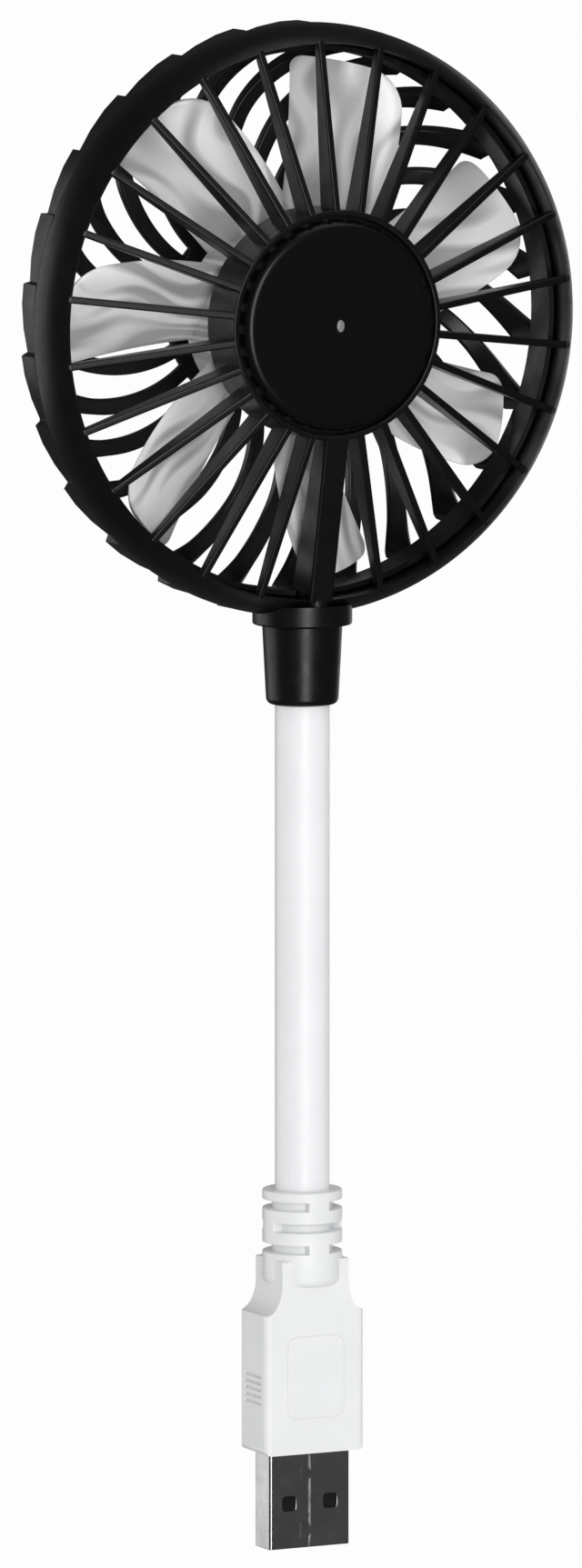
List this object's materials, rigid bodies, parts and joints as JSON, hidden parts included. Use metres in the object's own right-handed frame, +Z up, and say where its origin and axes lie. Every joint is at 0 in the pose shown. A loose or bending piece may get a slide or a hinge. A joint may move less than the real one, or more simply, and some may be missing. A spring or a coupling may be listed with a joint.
{
  "type": "desk fan",
  "caption": "Small caged fan head on a bendable white stem that plugs straight into a USB-A port.",
  "frame": {"origin": "centre of the open end of the plug's metal shell, on the stem's axis", "axes": "+Z up the straight stem, -Y the side that the air leaves, +X to the right seen from the front"},
  "size_m": [0.079, 0.0271, 0.2043],
  "materials": {
    "shell_nickel": "bright nickel plate on formed steel sheet",
    "carrier_plastic": "moulded insulator",
    "contact_gold": "gold flash on copper alloy",
    "inner_plastic": "moulded",
    "grip_white": "satin overmoulded vinyl",
    "jacket_white": "satin extruded vinyl",
    "core_iron": "bare annealed iron wire",
    "lead_insulation": "extruded insulation",
    "cage_black": "moulded, soft gloss",
    "cap_black": "moulded, soft gloss",
    "tube_brass": "turned",
    "bearing_bronze": "sintered and oiled",
    "board_green": "glass-epoxy board",
    "part_black": "moulded parts",
    "stator_steel": "pressed sheet",
    "coil_copper": "enamelled copper wire",
    "magnet_ferrite": "bonded ferrite",
    "shaft_steel": "ground",
    "blade_white": "moulded, glossy"
  },
  "bodies": {
    "plug": {"usb_shell": "shell_nickel", "contact_carrier": "carrier_plastic", "contacts": "contact_gold", "inner_mould": "inner_plastic", "plug_grip": "grip_white", "plug_leads": "lead_insulation", "stem_jacket_base": "jacket_white", "stem_core_base": "core_iron"},
    "link_1": {"stem_jacket_1": "jacket_white", "stem_core_1": "core_iron", "stem_leads_1": "lead_insulation"},
    "link_2": {"stem_jacket_2": "jacket_white", "stem_core_2": "core_iron", "stem_leads_2": "lead_insulation"},
    "link_3": {"stem_jacket_3": "jacket_white", "stem_core_3": "core_iron", "stem_leads_3": "lead_insulation"},
    "link_4": {"stem_jacket_4": "jacket_white", "stem_core_4": "core_iron", "stem_leads_4": "lead_insulation"},
    "link_5": {"stem_jacket_5": "jacket_white", "stem_core_5": "core_iron", "stem_leads_5": "lead_insulation"},
    "link_6": {"stem_jacket_6": "jacket_white", "stem_core_6": "core_iron", "stem_leads_6": "lead_insulation"},
    "link_7": {"stem_jacket_7": "jacket_white", "stem_core_7": "core_iron", "stem_leads_7": "lead_insulation"},
    "head": {"stem_jacket_top": "jacket_white", "stem_core_top": "core_iron", "motor_leads": "lead_insulation", "neck_sleeve": "cage_black", "front_guard": "cage_black", "hub_cap": "cap_black", "rear_guard": "cage_black", "bearing_tube": "tube_brass", "sleeve_bearing": "bearing_bronze", "thrust_pad": "inner_plastic", "motor_board": "board_green", "board_parts": "part_black", "stator_core": "stator_steel", "stator_insulators": "inner_plastic", "stator_coils": "coil_copper"},
    "rotor": {"rotor_yoke": "stator_steel", "rotor_magnet": "magnet_ferrite", "rotor_bush": "tube_brass", "rotor_shaft": "shaft_steel", "shaft_clip": "inner_plastic", "impeller": "blade_white"}
  },
  "joints": [
    {"name": "bend_fore_1", "type": "hinge", "parent": "plug", "child": "link_1", "pos_m": [0, 0, 0.0525], "axis": [1, 0, 0], "range_deg": [-22.5, 22.5]},
    {"name": "bend_side_1", "type": "hinge", "parent": "link_1", "child": "link_2", "pos_m": [0, 0, 0.0607], "axis": [0, 1, 0], "range_deg": [-22.5, 22.5]},
    {"name": "bend_fore_2", "type": "hinge", "parent": "link_2", "child": "link_3", "pos_m": [0, 0, 0.0689], "axis": [1, 0, 0], "range_deg": [-22.5, 22.5]},
    {"name": "bend_side_2", "type": "hinge", "parent": "link_3", "child": "link_4", "pos_m": [0, 0, 0.0771], "axis": [0, 1, 0], "range_deg": [-22.5, 22.5]},
    {"name": "bend_fore_3", "type": "hinge", "parent": "link_4", "child": "link_5", "pos_m": [0, 0, 0.0853], "axis": [1, 0, 0], "range_deg": [-22.5, 22.5]},
    {"name": "bend_side_3", "type": "hinge", "parent": "link_5", "child": "link_6", "pos_m": [0, 0, 0.0935], "axis": [0, 1, 0], "range_deg": [-22.5, 22.5]},
    {"name": "bend_fore_4", "type": "hinge", "parent": "link_6", "child": "link_7", "pos_m": [0, 0, 0.1017], "axis": [1, 0, 0], "range_deg": [-22.5, 22.5]},
    {"name": "bend_side_4", "type": "hinge", "parent": "link_7", "child": "head", "pos_m": [0, 0, 0.1099], "axis": [0, 1, 0], "range_deg": [-22.5, 22.5]},
    {"name": "impeller_spin", "type": "hinge", "parent": "head", "child": "rotor", "pos_m": [0, 0, 0.1648], "axis": [0, -1, 0], "continuous": true}
  ],
  "couplings": [
    {"joint": "bend_fore_2", "follows": "bend_fore_1", "ratio": 1},
    {"joint": "bend_side_2", "follows": "bend_side_1", "ratio": 1},
    {"joint": "bend_fore_3", "follows": "bend_fore_1", "ratio": 1},
    {"joint": "bend_side_3", "follows": "bend_side_1", "ratio": 1},
    {"joint": "bend_fore_4", "follows": "bend_fore_1", "ratio": 1},
    {"joint": "bend_side_4", "follows": "bend_side_1", "ratio": 1}
  ]
}
